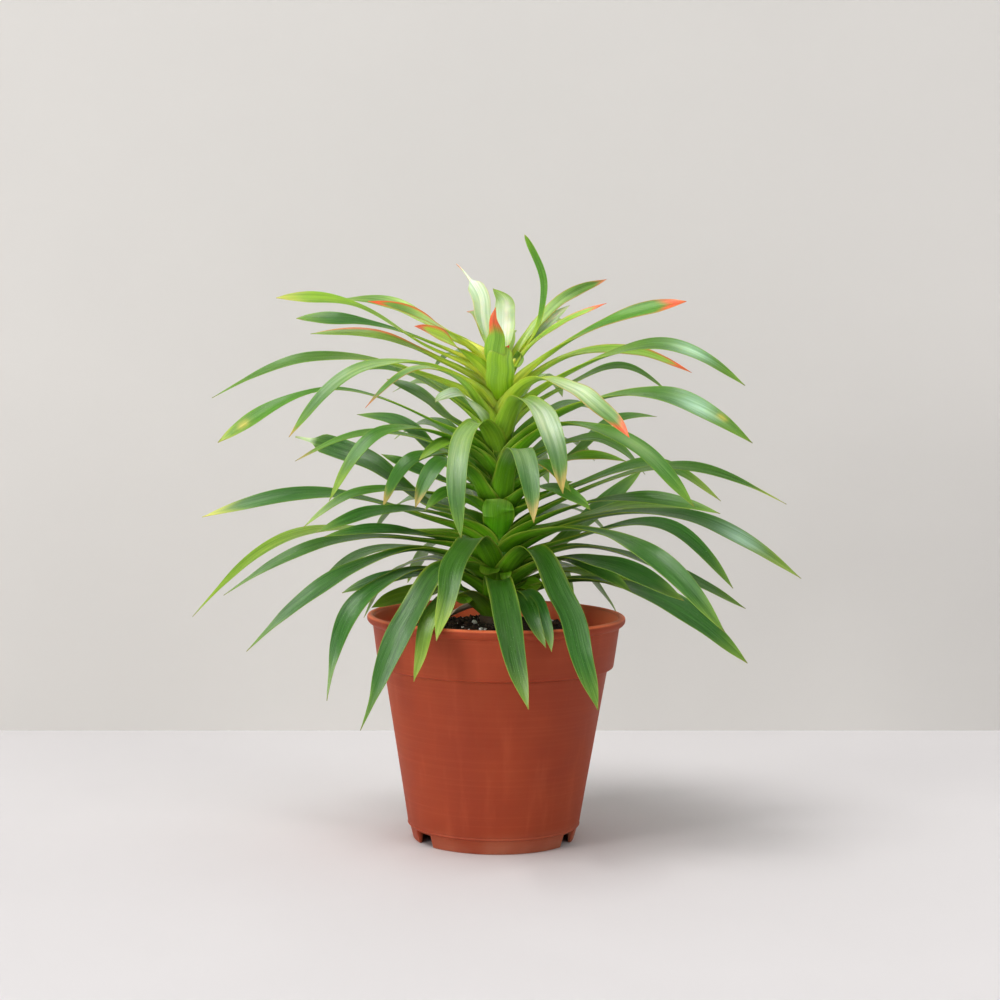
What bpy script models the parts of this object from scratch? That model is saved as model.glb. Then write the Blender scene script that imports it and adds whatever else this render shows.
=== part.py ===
"""Guzmania in a plain nursery pot: a stem with arching strap leaves, standing in potting mix.

Metres, +Z up. The origin is the centre of the pot's foot, on the surface that it stands on.
-Y is the front. Sizes below are in millimetres and turned into metres when a mesh is made.
"""
import math
from collections import namedtuple

import bmesh
import bpy
import numpy as np

MM = 0.001

# Pot: a 12 cm nursery pot
RIM_RADIUS = 60.0
RIM_HEIGHT = 105.0
FOOT_RADIUS = 37.5
WALL = 1.3
FLOOR_UNDER = 6.0
FLOOR_TOP = 7.5
POT_SIDES = 48
NOTCH_COUNT = 3
NOTCH_TURN = -26.0
NOTCH_WIDTH = 11.0
NOTCH_HEIGHT = 5.2
DRAIN_COUNT = 6
DRAIN_RADIUS = 4.0
DRAIN_CIRCLE = 24.0

# Soil and stem
CLEARANCE = 0.3
SOIL_HEIGHT = 101.0
SOIL_EDGE_HEIGHT = 94.0
SOIL_SIDES = 40
SOIL_BUMP = 0.7
STEM_FOOT = 80.0
STEM_RADIUS = 8.0
STEM_TIP = 226.0
STEM_TIP_RADIUS = 3.6
STEM_SIDES = 16

# Leaves
BLADE_THICKNESS = 0.8
SHEATH_WIDTH = 12.0
SHEATH_WRAP = 54.0
BLADE_CUP = 16.0
TIP_WIDTH = 1.3
SIDE_TWIST = 45.0
LOWEST_LAUNCH = 40.0
HIGHEST_LAUNCH = 65.0
LOWEST_LEAF = 108.0
HIGHEST_LEAF = 218.0
ROOT_DEPTH = 2.0

Leaf = namedtuple("Leaf", "turn base shoulder bend tip width sway twist", defaults=(0.0, None))

# turn: degrees round the stem, 0 to the right, 90 to the back and -90 to the front
# base: height of the leaf's foot on the stem
# shoulder, bend, tip: (reach from the stem's axis, height) of three points along its midrib
# width: of the blade at its widest; sway: sideways drift of the tip, anticlockwise from above
# twist: degrees that the outer half is rolled, or None for the rule in leaf_twist
OUTER_LEAVES = [
    # lowest leaves, which hang over the rim
    Leaf(-172, 109, (31, 123), (52, 122), (72, 115), 8),
    Leaf(-25, 110, (36, 122), (80, 118), (123, 91), 12.5),
    Leaf(70, 109, (40, 125), (80, 122), (116, 98), 12),
    Leaf(-91, 112.5, (46, 128), (94, 112), (127, 82), 12, sway=16),
    Leaf(-145, 115, (50, 127), (79, 112), (93, 72.5), 10, sway=4),
    Leaf(-2, 114.5, (29, 125), (51, 123), (71, 114), 9),
    Leaf(112, 115, (40, 132), (84, 130), (124, 106), 12),
    Leaf(-122, 119.5, (46, 130), (74, 109), (108, 66), 12),
    Leaf(-38, 118, (36, 133), (64, 133), (104, 120), 11.5),
    Leaf(50, 119, (45, 134), (80, 152), (112, 168), 10),
    Leaf(-150, 123.5, (38, 136), (78, 128), (126, 95), 9.5),
    Leaf(-62, 121.5, (34, 138), (64, 116), (94, 74.5), 12),
    # spreading lower leaves
    Leaf(15, 123.5, (34, 135), (78, 127), (124, 105), 9),
    Leaf(-106, 126.5, (36, 143), (66, 135), (90, 104), 11),
    Leaf(-163, 129.5, (40, 140), (84, 139), (128, 116.5), 8),
    Leaf(88, 125, (40, 144), (86, 148), (130, 124), 11.5),
    Leaf(-12, 127.5, (36, 141), (78, 149), (110, 121), 9),
    Leaf(172, 134, (48, 142), (98, 139), (146, 99), 8.5),
    Leaf(5, 131, (36, 147), (84, 152), (144, 122), 10.5),
    Leaf(-42, 134.5, (36, 146), (82, 143), (131, 109.5), 11),
    Leaf(-172, 137, (38, 151), (80, 161), (136, 150), 9),
    Leaf(30, 136, (40, 147), (72, 154), (109, 151), 7),
    Leaf(-20, 139, (34, 155), (72, 162), (106, 156), 8),
    Leaf(-151, 140.5, (30, 152), (60, 155), (92, 146), 8),
    Leaf(-88, 143.5, (11.5, 150), (14, 155), (14.5, 160), 15),
    Leaf(148, 143.5, (40, 154), (70, 172), (122, 183), 11, twist=-62),
    Leaf(0, 142, (36, 161), (86, 175), (134, 158), 7.5),
    Leaf(78, 147, (38, 166), (82, 176), (124, 158), 11),
    Leaf(15, 149.5, (40, 165), (78, 175), (110, 157), 8.5),
    Leaf(-50, 152.5, (24, 165), (42, 166), (64, 158), 8),
    Leaf(105, 151, (36, 172), (78, 182), (122, 166), 11),
    # middle leaves
    Leaf(-78, 157.5, (24, 177), (46, 184), (76, 154), 10),
    Leaf(-126, 154.5, (24, 173), (42, 178), (62, 158), 9),
    Leaf(35, 156, (46, 180), (68, 195), (94, 196), 6),
    Leaf(140, 159, (34, 174), (56, 190), (90, 195), 8),
    Leaf(-156, 163, (24, 179), (42, 178), (57, 156), 8),
    Leaf(92, 165, (34, 190), (72, 200), (116, 184), 10.5),
    Leaf(160, 169, (34, 184), (64, 188), (104, 173), 5),
    Leaf(24, 168, (30, 183), (54, 186), (77, 169), 8),
    Leaf(-146, 172, (30, 188), (62, 191), (90, 160.5), 7),
    Leaf(-30, 173, (30, 193), (62, 190), (100, 160), 10),
    Leaf(-172, 177, (34, 196), (78, 209), (129, 184), 9),
    Leaf(-114, 183, (22, 194), (44, 190), (74, 147), 10, sway=16),
    Leaf(-20, 178, (36, 201), (76, 209), (120, 188), 12),
    Leaf(150, 181, (30, 197), (44, 207), (62, 213), 7),
    Leaf(72, 184, (32, 208), (66, 216), (104, 204), 10),
    Leaf(-66, 186, (23, 205), (46, 202), (76, 166.5), 10.5, sway=-3),
    # upper leaves
    Leaf(156, 187, (32, 209), (56, 219), (84, 215), 6),
    Leaf(22, 190, (36, 212), (62, 221), (87, 208.5), 5),
    Leaf(-50, 197, (26, 214), (50, 211.5), (88, 191), 10),
    Leaf(110, 193, (30, 215), (60, 226), (96, 218), 9),
    Leaf(-135, 190.5, (26, 214), (54, 219), (82, 202), 6),
    Leaf(-8, 193.5, (36, 219), (78, 231), (113, 213), 9),
    Leaf(-176, 197, (40, 217), (88, 223), (132, 204), 8),
    Leaf(18, 201, (32, 224), (66, 228), (96, 218), 8),
    Leaf(-156, 200, (32, 219), (68, 219), (102, 188), 7),
]

# Leaves that are one piece with the stem: old ones at its foot and young ones round its growing tip
JOINED_LEAVES = [
    Leaf(-152, 104, (28, 117), (46, 116), (64, 111), 8.5),
    Leaf(-116, 104, (40, 119), (64, 112), (80, 84), 8),
    Leaf(-64, 104, (30, 119), (54, 113), (70, 97), 7.5, sway=-8),
    Leaf(-78, 104, (30, 118), (54, 113), (71, 99), 8, sway=7),
    Leaf(-89, 201, (11.5, 209), (13.5, 218), (12, 229.5), 13),
    Leaf(-5, 203, (28, 229), (56, 244), (85.5, 251), 8),
    Leaf(170, 204, (30, 223), (58, 234), (90, 234), 7),
    Leaf(40, 205, (14, 229), (34, 249), (66, 262), 7),
    Leaf(-148, 206, (18, 225), (32, 234), (45.5, 238), 11),
    Leaf(10, 207, (14, 229), (28, 240), (50, 250), 4),
    Leaf(-172, 208, (38, 231), (68, 248), (103, 250), 6),
    Leaf(-100, 208, (11, 221), (14, 234), (16, 247), 10),
    Leaf(35, 209, (16, 230), (26, 240), (40, 249), 6),
    Leaf(-168, 209, (8, 216), (11, 222), (13, 227), 7),
    Leaf(178, 210, (36, 232), (64, 240), (94.5, 241), 8),
    Leaf(25, 212, (20, 240), (22, 259), (12, 281), 5),
    Leaf(125, 212, (12, 236), (20, 256), (37, 268), 8),
    Leaf(-166, 214, (26, 236), (42, 245), (62, 249), 6),
    Leaf(75, 214, (12, 236), (16, 249), (6, 256), 10, sway=9.5),
    Leaf(-70, 214, (9, 220), (10, 225), (11, 230), 7),
    Leaf(10, 216, (8, 220), (9, 224), (8, 227.5), 7),
    Leaf(150, 218, (30, 234), (56, 248), (88, 251), 8),
]

# Withered leaf, fallen on the soil beside the stem
FALLEN_TURN = 140
FALLEN_START = (9.6, 107.4)
FALLEN_PATH = ((16, 105.2), (25, 101.3), (36, 99.1))
FALLEN_WIDTH = 7.0

TERRACOTTA = (0.42, 0.075, 0.028)
SOIL_BROWN = (0.035, 0.022, 0.015)
STEM_GREEN = (0.16, 0.26, 0.05)
LOW_GREEN = (0.035, 0.13, 0.03)
HIGH_GREEN = (0.16, 0.36, 0.02)
WITHERED = (0.34, 0.27, 0.18)


def clear_scene():
    for obj in list(bpy.data.objects):
        bpy.data.objects.remove(obj, do_unlink=True)


def material(name, colour, roughness):
    mat = bpy.data.materials.new(name)
    mat.use_nodes = True
    shader = mat.node_tree.nodes["Principled BSDF"]
    shader.inputs["Base Color"].default_value = (*colour, 1.0)
    shader.inputs["Roughness"].default_value = roughness
    shader.inputs["Metallic"].default_value = 0.0
    mat.diffuse_color = (*colour, 1.0)
    return mat


def add_object(name, mesh, mat):
    mesh.materials.append(mat)
    mesh.shade_smooth()
    obj = bpy.data.objects.new(name, mesh)
    bpy.context.scene.collection.objects.link(obj)
    return obj


def mesh_from(name, verts, faces):
    """Mesh of points given in millimetres."""
    mesh = bpy.data.meshes.new(name)
    mesh.from_pydata([tuple(float(c) * MM for c in v) for v in verts], [], faces)
    mesh.update()
    return mesh


def turned_mesh(name, profile, sides, lift=None):
    """Closed solid turned round Z from a profile of (radius, height) that starts and ends on the axis."""
    verts = [(0.0, 0.0, profile[0][1])]
    rings = []
    for radius, height in profile[1:-1]:
        rings.append(len(verts))
        for k in range(sides):
            angle = 2 * math.pi * k / sides
            rise = lift(radius, height, angle) if lift else 0.0
            verts.append((radius * math.cos(angle), radius * math.sin(angle), height + rise))
    last = len(verts)
    verts.append((0.0, 0.0, profile[-1][1]))
    faces = []
    for k in range(sides):
        n = (k + 1) % sides
        faces.append((0, rings[0] + n, rings[0] + k))
        for a, b in zip(rings, rings[1:]):
            faces.append((a + k, a + n, b + n, b + k))
        faces.append((last, rings[-1] + k, rings[-1] + n))
    mesh = mesh_from(name, verts, faces)
    bm = bmesh.new()
    bm.from_mesh(mesh)
    bmesh.ops.recalc_face_normals(bm, faces=bm.faces)
    bm.to_mesh(mesh)
    bm.free()
    return mesh


# Pot

def pot_outside():
    """(radius, height) of the pot's outer side, from the foot up to the lip."""
    return [
        (FOOT_RADIUS, 0.0),
        (39.6, 6.7),
        (40.2, 7.4),
        (42.8, 24.7),
        (50.3, 70.0),
        (52.3, 80.2),
        (55.1, 82.8),
        (57.4, 100.6),
        (59.3, 101.2),
        (RIM_RADIUS, 102.3),
        (RIM_RADIUS, 104.2),
        (59.2, RIM_HEIGHT),
    ]


def pot_inside():
    """(radius, height) of the pot's inner side, from the floor up to the lip."""
    return [
        (38.8, FLOOR_TOP),
        (42.8 - WALL, 24.7),
        (50.3 - WALL, 70.0),
        (52.3 - WALL, 79.6),
        (55.1 - WALL, 83.4),
        (57.4 - WALL, 102.0),
        (57.2, RIM_HEIGHT),
    ]


def cutter(name, mesh):
    obj = bpy.data.objects.new(name, mesh)
    bpy.context.scene.collection.objects.link(obj)
    obj.hide_render = True
    obj.display_type = "WIRE"
    return obj


def cut(obj, tool):
    mod = obj.modifiers.new(tool.name, "BOOLEAN")
    mod.operation = "DIFFERENCE"
    mod.solver = "EXACT"
    mod.object = tool


def notch_mesh():
    """Wedges that leave three feet: each is a radial bar with sloping ends."""
    bm = bmesh.new()
    half_low = NOTCH_WIDTH / 2 * MM
    half_high = half_low * 0.7
    near, far = 30 * MM, 46 * MM
    top, shoulder, bottom = NOTCH_HEIGHT * MM, 0.6 * NOTCH_HEIGHT * MM, -2 * MM
    section = [(-half_low, bottom), (half_low, bottom), (0.92 * half_low, shoulder),
               (half_high, top), (-half_high, top), (-0.92 * half_low, shoulder)]
    for k in range(NOTCH_COUNT):
        turn = math.radians(NOTCH_TURN + 360.0 * k / NOTCH_COUNT)
        out = np.array([math.cos(turn), math.sin(turn), 0])
        side = np.array([-math.sin(turn), math.cos(turn), 0])
        ends = []
        for reach in (near, far):
            ends.append([bm.verts.new(out * reach + side * s + np.array([0, 0, h])) for s, h in section])
        count = len(section)
        bm.faces.new(ends[0])
        bm.faces.new(ends[1][::-1])
        for a in range(count):
            b = (a + 1) % count
            bm.faces.new((ends[0][a], ends[1][a], ends[1][b], ends[0][b]))
    bmesh.ops.recalc_face_normals(bm, faces=bm.faces)
    mesh = bpy.data.meshes.new("pot_notches")
    bm.to_mesh(mesh)
    bm.free()
    return mesh


def drain_mesh():
    """Pins that leave the drainage holes in the pot's floor."""
    bm = bmesh.new()
    places = [(0.0, 0.0)]
    for k in range(DRAIN_COUNT):
        turn = math.radians(NOTCH_TURN + 30 + 360.0 * k / DRAIN_COUNT)
        places.append((DRAIN_CIRCLE * math.cos(turn), DRAIN_CIRCLE * math.sin(turn)))
    for x, y in places:
        pin = bmesh.ops.create_cone(bm, cap_ends=True, segments=14, radius1=DRAIN_RADIUS * MM,
                                    radius2=DRAIN_RADIUS * MM, depth=6 * MM)
        bmesh.ops.translate(bm, verts=pin["verts"], vec=(x * MM, y * MM, (FLOOR_UNDER + FLOOR_TOP) / 2 * MM))
    mesh = bpy.data.meshes.new("pot_drain_pins")
    bm.to_mesh(mesh)
    bm.free()
    return mesh


def make_pot():
    under = [(0.0, FLOOR_UNDER), (37.9, FLOOR_UNDER), (FOOT_RADIUS - 1.5, 0.0)]
    profile = under + pot_outside() + pot_inside()[::-1] + [(0.0, FLOOR_TOP)]
    mesh = turned_mesh("pot", profile, POT_SIDES)
    pot = add_object("pot", mesh, material("pot", TERRACOTTA, 0.45))
    cut(pot, cutter("cut_notches", notch_mesh()))
    cut(pot, cutter("cut_drain_holes", drain_mesh()))


# Soil

def soil_rise(radius, height, angle):
    """Low bumps on the soil's surface, none at the wall or round the stem."""
    if height < SOIL_EDGE_HEIGHT or radius < 12 or radius > 52:
        return 0.0
    return SOIL_BUMP * (math.sin(5 * angle + 0.13 * radius) * math.cos(0.21 * radius)
                        + 0.5 * math.sin(9 * angle + 0.4 * radius))


def make_soil():
    wall = [(r - CLEARANCE, z) for r, z in pot_inside() if FLOOR_TOP < z < SOIL_EDGE_HEIGHT]
    hole = STEM_RADIUS + CLEARANCE
    profile = [(0.0, FLOOR_TOP + CLEARANCE), (38.4, FLOOR_TOP + CLEARANCE)] + wall
    profile += [(54.6, SOIL_EDGE_HEIGHT - 1.5), (51, SOIL_EDGE_HEIGHT + 0.5), (44, SOIL_EDGE_HEIGHT + 2),
                (36, SOIL_EDGE_HEIGHT + 4), (28, SOIL_EDGE_HEIGHT + 5.6), (20, SOIL_HEIGHT - 0.6),
                (13, SOIL_HEIGHT), (hole, SOIL_HEIGHT)]
    profile += [(hole, STEM_FOOT - CLEARANCE), (0.0, STEM_FOOT - CLEARANCE)]
    mesh = turned_mesh("soil", profile, SOIL_SIDES, soil_rise)
    add_object("soil", mesh, material("soil", SOIL_BROWN, 0.95))


# Leaves

def stem_radius(height):
    share = (height - SOIL_HEIGHT) / (STEM_TIP - SOIL_HEIGHT)
    return STEM_RADIUS + (STEM_TIP_RADIUS - STEM_RADIUS) * min(max(share, 0.0), 1.0)


def ease(value):
    value = np.clip(value, 0.0, 1.0)
    return value * value * (3 - 2 * value)


def smooth_path(points, launch, count):
    """Even points on a smooth curve through (reach, height) points, which leaves the first at an angle."""
    points = np.array(points, float)
    spans = np.linalg.norm(np.diff(points, axis=0), axis=1)
    slopes = np.diff(points, axis=0) / spans[:, None]
    heading = np.zeros_like(points)
    heading[0] = (math.cos(launch), math.sin(launch))
    for i in range(1, len(points) - 1):
        heading[i] = (slopes[i - 1] * spans[i] + slopes[i] * spans[i - 1]) / (spans[i] + spans[i - 1])
    heading[-1] = 1.5 * slopes[-1] - 0.5 * heading[-2]
    fine = []
    for i, span in enumerate(spans):
        for u in np.linspace(0, 1, 60, endpoint=i == len(spans) - 1):
            fine.append((2 * u**3 - 3 * u**2 + 1) * points[i] + (u**3 - 2 * u**2 + u) * span * heading[i]
                        + (3 * u**2 - 2 * u**3) * points[i + 1] + (u**3 - u**2) * span * heading[i + 1])
    fine = np.array(fine)
    run = np.concatenate([[0], np.cumsum(np.linalg.norm(np.diff(fine, axis=0), axis=1))])
    along = np.linspace(0, run[-1], count)
    return np.column_stack([np.interp(along, run, fine[:, 0]), np.interp(along, run, fine[:, 1])])


def leaf_twist(leaf):
    """Leaves to the left and right are rolled so that their upper faces look forwards."""
    if leaf.twist is not None:
        return leaf.twist
    return SIDE_TWIST * math.cos(math.radians(leaf.turn))


def leaf_launch(base):
    share = (base - LOWEST_LEAF) / (HIGHEST_LEAF - LOWEST_LEAF)
    return math.radians(LOWEST_LAUNCH + (HIGHEST_LAUNCH - LOWEST_LAUNCH) * min(max(share, 0.0), 1.0))


def blade_width(widest, share):
    """Width along a leaf: a broad foot, a narrower waist, the widest part past the middle, then the point."""
    places = (0.0, 0.28, 0.68, 0.87, 1.0)
    widths = (SHEATH_WIDTH, 0.86 * widest, widest, 0.68 * widest, 0.0)
    return np.interp(share, places, widths)


def blade_grid(leaf, path, rows, columns):
    """Points (rows, columns, 3) of a leaf's middle surface: a channel at the foot that flattens outwards."""
    turn = math.radians(leaf.turn)
    outward = np.array([math.cos(turn), math.sin(turn), 0.0])
    sideways = np.array([-math.sin(turn), math.cos(turn), 0.0])
    share = np.linspace(0, 1, rows)
    midrib = path[:, :1] * outward + leaf.sway * share[:, None] ** 2 * sideways
    midrib[:, 2] = path[:, 1]
    ahead = np.gradient(midrib, axis=0)
    ahead /= np.linalg.norm(ahead, axis=1)[:, None]
    across = sideways - (ahead @ sideways)[:, None] * ahead
    across /= np.linalg.norm(across, axis=1)[:, None]
    upward = np.cross(ahead, across)
    roll = np.radians(leaf_twist(leaf)) * ease((share - 0.3) / 0.5)[:, None]
    across, upward = (across * np.cos(roll) + upward * np.sin(roll),
                      upward * np.cos(roll) - across * np.sin(roll))
    width = np.maximum(blade_width(leaf.width, share), TIP_WIDTH)
    wrap = np.radians(SHEATH_WRAP + (BLADE_CUP - SHEATH_WRAP) * ease(share / 0.55))
    radius = width / (2 * wrap)
    angle = wrap[:, None] * np.linspace(-1, 1, columns)
    return (midrib[:, None, :]
            + across[:, None, :] * (radius[:, None] * np.sin(angle))[:, :, None]
            + upward[:, None, :] * (radius[:, None] * (1 - np.cos(angle)))[:, :, None])


def blade_object(name, leaf, start, rows, columns, mat):
    path = smooth_path([start, leaf.shoulder, leaf.bend, leaf.tip], leaf_launch(leaf.base), rows)
    grid = blade_grid(leaf, path, rows, columns)
    faces = []
    for i in range(rows - 1):
        for j in range(columns - 1):
            a, b = i * columns + j, (i + 1) * columns + j
            faces.append((a, b, b + 1))
            faces.append((a, b + 1, a + 1))
    mesh = mesh_from(name, grid.reshape(-1, 3), faces)
    obj = add_object(name, mesh, mat)
    thickness = obj.modifiers.new("thickness", "SOLIDIFY")
    thickness.thickness = BLADE_THICKNESS * MM
    thickness.offset = 0.0
    return obj


def leaf_green(base):
    share = (base - LOWEST_LEAF) / (HIGHEST_LEAF - LOWEST_LEAF)
    return tuple(a + (b - a) * share for a, b in zip(LOW_GREEN, HIGH_GREEN))


def make_outer_leaves():
    for number, leaf in enumerate(OUTER_LEAVES, 1):
        name = f"leaf_{number:02d}"
        start = (stem_radius(leaf.base) + CLEARANCE + BLADE_THICKNESS / 2, leaf.base)
        blade_object(name, leaf, start, 10, 4, material(name, leaf_green(leaf.base), 0.4))


def keep_largest_shell(mesh):
    """Drops the loose scraps and sealed hollows that joining crossed blades can leave."""
    bm = bmesh.new()
    bm.from_mesh(mesh)
    left = set(bm.verts)
    shells = []
    while left:
        shell = [left.pop()]
        for vert in shell:
            for edge in vert.link_edges:
                other = edge.other_vert(vert)
                if other in left:
                    left.remove(other)
                    shell.append(other)
        shells.append(shell)
    shells.sort(key=len)
    bmesh.ops.delete(bm, geom=[v for shell in shells[:-1] for v in shell], context="VERTS")
    bm.to_mesh(mesh)
    bm.free()


def make_stem():
    """Stem with its joined leaves, as one body."""
    profile = [(0.0, STEM_FOOT), (STEM_RADIUS, STEM_FOOT), (STEM_RADIUS, SOIL_HEIGHT),
               (stem_radius(165), 165), (STEM_TIP_RADIUS, STEM_TIP), (0.0, STEM_TIP + 1)]
    mat = material("stem", STEM_GREEN, 0.5)
    stem = add_object("stem", turned_mesh("stem", profile, STEM_SIDES), mat)
    joined_leaves = bpy.data.collections.new("joined_leaves")
    bpy.context.scene.collection.children.link(joined_leaves)
    for number, leaf in enumerate(JOINED_LEAVES, 1):
        start = (max(stem_radius(leaf.base) - ROOT_DEPTH, 0.5), leaf.base)
        obj = blade_object(f"joined_{number:02d}", leaf, start, 8, 3, mat)
        bpy.context.scene.collection.objects.unlink(obj)
        joined_leaves.objects.link(obj)
    join = stem.modifiers.new("join", "BOOLEAN")
    join.operation = "UNION"
    join.operand_type = "COLLECTION"
    join.solver = "EXACT"
    join.collection = joined_leaves
    graph = bpy.context.evaluated_depsgraph_get()
    joined = bpy.data.meshes.new_from_object(stem.evaluated_get(graph), depsgraph=graph)
    stem.modifiers.remove(join)
    keep_largest_shell(joined)
    stem.data = joined
    for obj in list(joined_leaves.objects):
        bpy.data.objects.remove(obj, do_unlink=True)
    bpy.data.collections.remove(joined_leaves)


def make_fallen_leaf():
    leaf = Leaf(FALLEN_TURN, SOIL_HEIGHT, *FALLEN_PATH, FALLEN_WIDTH, sway=-4.0, twist=0.0)
    blade_object("fallen_leaf", leaf, FALLEN_START, 8, 3, material("fallen_leaf", WITHERED, 0.8))


clear_scene()
make_pot()
make_soil()
make_stem()
make_outer_leaves()
make_fallen_leaf()
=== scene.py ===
"""Looks of the potted guzmania: fine leaves, stem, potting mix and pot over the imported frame.

Sizes in the tables are in millimetres, turned into metres when a mesh is made. -Y is the front.
"""

import math
from collections import namedtuple

import bmesh
import bpy
import numpy as np
from mathutils import Matrix, Vector, noise


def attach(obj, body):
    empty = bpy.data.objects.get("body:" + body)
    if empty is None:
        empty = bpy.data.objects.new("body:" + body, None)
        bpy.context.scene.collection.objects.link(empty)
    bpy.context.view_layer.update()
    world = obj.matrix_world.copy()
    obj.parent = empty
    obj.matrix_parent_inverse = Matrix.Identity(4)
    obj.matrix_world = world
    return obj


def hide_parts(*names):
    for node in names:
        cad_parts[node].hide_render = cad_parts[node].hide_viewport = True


MM = 0.001
BODY = "root"

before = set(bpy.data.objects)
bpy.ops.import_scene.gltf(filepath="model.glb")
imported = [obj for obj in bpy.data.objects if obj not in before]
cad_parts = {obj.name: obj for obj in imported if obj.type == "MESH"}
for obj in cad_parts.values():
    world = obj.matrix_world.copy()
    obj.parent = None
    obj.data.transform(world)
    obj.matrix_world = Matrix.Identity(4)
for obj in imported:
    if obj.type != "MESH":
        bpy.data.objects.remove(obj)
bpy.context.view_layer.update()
studio = bpy.context.scene


def srgb(red, green, blue):
    """Linear colour of a screen colour from 0 to 255."""
    share = np.array([red, green, blue], float) / 255
    return np.where(share <= 0.04045, share / 12.92, ((share + 0.055) / 1.055) ** 2.4)


# Pot, in millimetres
RIM_HEIGHT = 105.0
FOOT_RADIUS = 38.0
POT_SIDES = 240
NOTCH_TURNS = (-26.0, 94.0, 214.0)
NOTCH_WIDTH = 11.0
NOTCH_HEIGHT = 5.2
NOTCH_SLOPE = 0.9
FLOOR_UNDERSIDE = 6.0
DRAIN_COUNT = 6
DRAIN_RADIUS = 4.0
DRAIN_CIRCLE = 24.0
OUT_OF_ROUND = 0.12
CORNER_STEPS = 4

TERRACOTTA = srgb(158, 70, 39)
TERRACOTTA_DARK = srgb(149, 62, 34)
# Paler terracotta of the moulding rings and flow marks, also the painted highlight on the lip and the painted
# light on the inner wall
PALE_TERRACOTTA_AND_PAINTED_LIGHT = srgb(244, 136, 92)
SCUFF = srgb(206, 132, 100)
FOOT_DUST = srgb(196, 150, 124)

# Soil and stem
SOIL_HEIGHT = 101.0
SOIL_EDGE = 54.6
SOIL_SIDES = 260
STEM_TIP = 226.0
STEM_RADIUS = 8.0
STEM_TIP_RADIUS = 3.6
STEM_SIDES = 64

SOIL_DARK = srgb(38, 28, 24)
SOIL_BROWN = srgb(82, 62, 50)
BARK_DARK = srgb(46, 34, 28)
BARK_BROWN = srgb(112, 84, 62)
PERLITE_WHITE = srgb(254, 252, 248)
PERLITE_STAIN = srgb(196, 180, 160)
STEM_BROWN = srgb(92, 72, 50)
STEM_GREEN = srgb(120, 146, 52)

# Leaves
CLEARANCE = 0.3
BLADE_HALF = 0.4
BLADE_THICKNESS = 0.6
JOIN_SINK = 2.0
FOOT_WIDTH = 15.0
FOOT_WRAP = 60.0
BLADE_CUP = 17.0
SHOULDER_EXTRA = 0.8
POINT_WIDTH = 0.3
SIDE_TWIST = 45.0
WAVER = 0.9
ROLL_WAVER = 9.0
SHEATH_DEPTH = 13.0
SHEATH_SINK = 1.4
SHEATH_FRONT = 1.2
SHEATH_ROWS = 9
LOWEST_LAUNCH = 40.0
HIGHEST_LAUNCH = 65.0
LOWEST_LEAF = 108.0
HIGHEST_LEAF = 218.0
ROWS = 64
COLUMNS = 15
LAST_LOW = 23
LAST_MIDDLE = 47

LIME = srgb(238, 244, 110)
BRIGHT_LIME = srgb(180, 204, 62)
FRONT_LIME = srgb(166, 206, 24)
FOOT_GREEN = srgb(122, 184, 12)
YOUNG_GREEN = srgb(160, 198, 72)
MIDDLE_GREEN = srgb(84, 142, 26)
OLD_GREEN = srgb(36, 90, 4)
DEEP_GREEN = srgb(98, 172, 4)
OLIVE = srgb(126, 178, 24)
MOSS = srgb(122, 154, 34)
COOL_GREEN = srgb(52, 112, 40)
# Pale green of the leaf scales and pale leaves, also of the painted sheen
PALE_AND_SHEEN_GREEN = srgb(214, 234, 200)
# Near white of pale young leaves and dry curled tips, also of painted glare and the painted silver highlight
NEAR_WHITE_AND_HIGHLIGHT = srgb(238, 248, 240)
# Whitish colour of the painted glint highlight on the leaves
PAINTED_GLINT_WHITE = srgb(206, 238, 226)
UNDER_GREEN = srgb(124, 168, 40)
MARGIN_GREEN = srgb(172, 190, 66)
TIP_BROWN = srgb(150, 118, 60)
TIP_LIME = srgb(164, 186, 84)
ORANGE_RED = srgb(236, 98, 62)
PINK_RED = srgb(222, 112, 92)
TIP_YELLOW = srgb(222, 216, 120)
DRY_SPOT = srgb(232, 206, 112)
TIP_DRY = srgb(196, 142, 112)
WITHERED = srgb(244, 230, 204)
WITHERED_DARK = srgb(190, 170, 140)
WITHERED_STAIN = srgb(222, 208, 180)

# Outline by a word in a leaf's look: (place along it, share of its width) after the foot
OUTLINES = {
    "curl": [(0.3, 0.95), (0.7, 1), (0.85, 0.9), (0.92, 0.2), (1, 0.07)],
    "whip": [(0.3, 0.95), (0.6, 1), (0.71, 0.85), (0.78, 0.16), (1, 0.05)],
    "paddle": [(0.26, 0.50), (0.64, 0.46), (0.86, 1), (0.94, 0.68), (1, 0)],
    "late": [(0.26, 0.85), (0.58, 0.75), (0.84, 1), (0.93, 0.70), (1, 0)],
    "tail": [(0.22, 1), (0.62, 1), (0.80, 0.62), (0.89, 0.26), (1, 0)],
    "blunt": [(0.25, 1), (0.7, 1), (0.9, 0.85), (0.97, 0.55), (1, 0)],
    "spear": [(0.22, 1), (0.56, 0.95), (0.8, 0.5), (1, 0)],
    "slim": [(0.22, 1), (0.45, 0.85), (0.8, 0.5), (1, 0)],
    "plain": [(0.22, 1), (0.66, 1), (0.86, 0.68), (1, 0)],
}
# Colour of the blade, or of blade and foot, by word
BLADE_TINTS = {"green": MIDDLE_GREEN, "bright": BRIGHT_LIME, "moss": MOSS}
WHOLE_TINTS = {"deep": DEEP_GREEN, "olive": OLIVE, "lime": FRONT_LIME}
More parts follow.
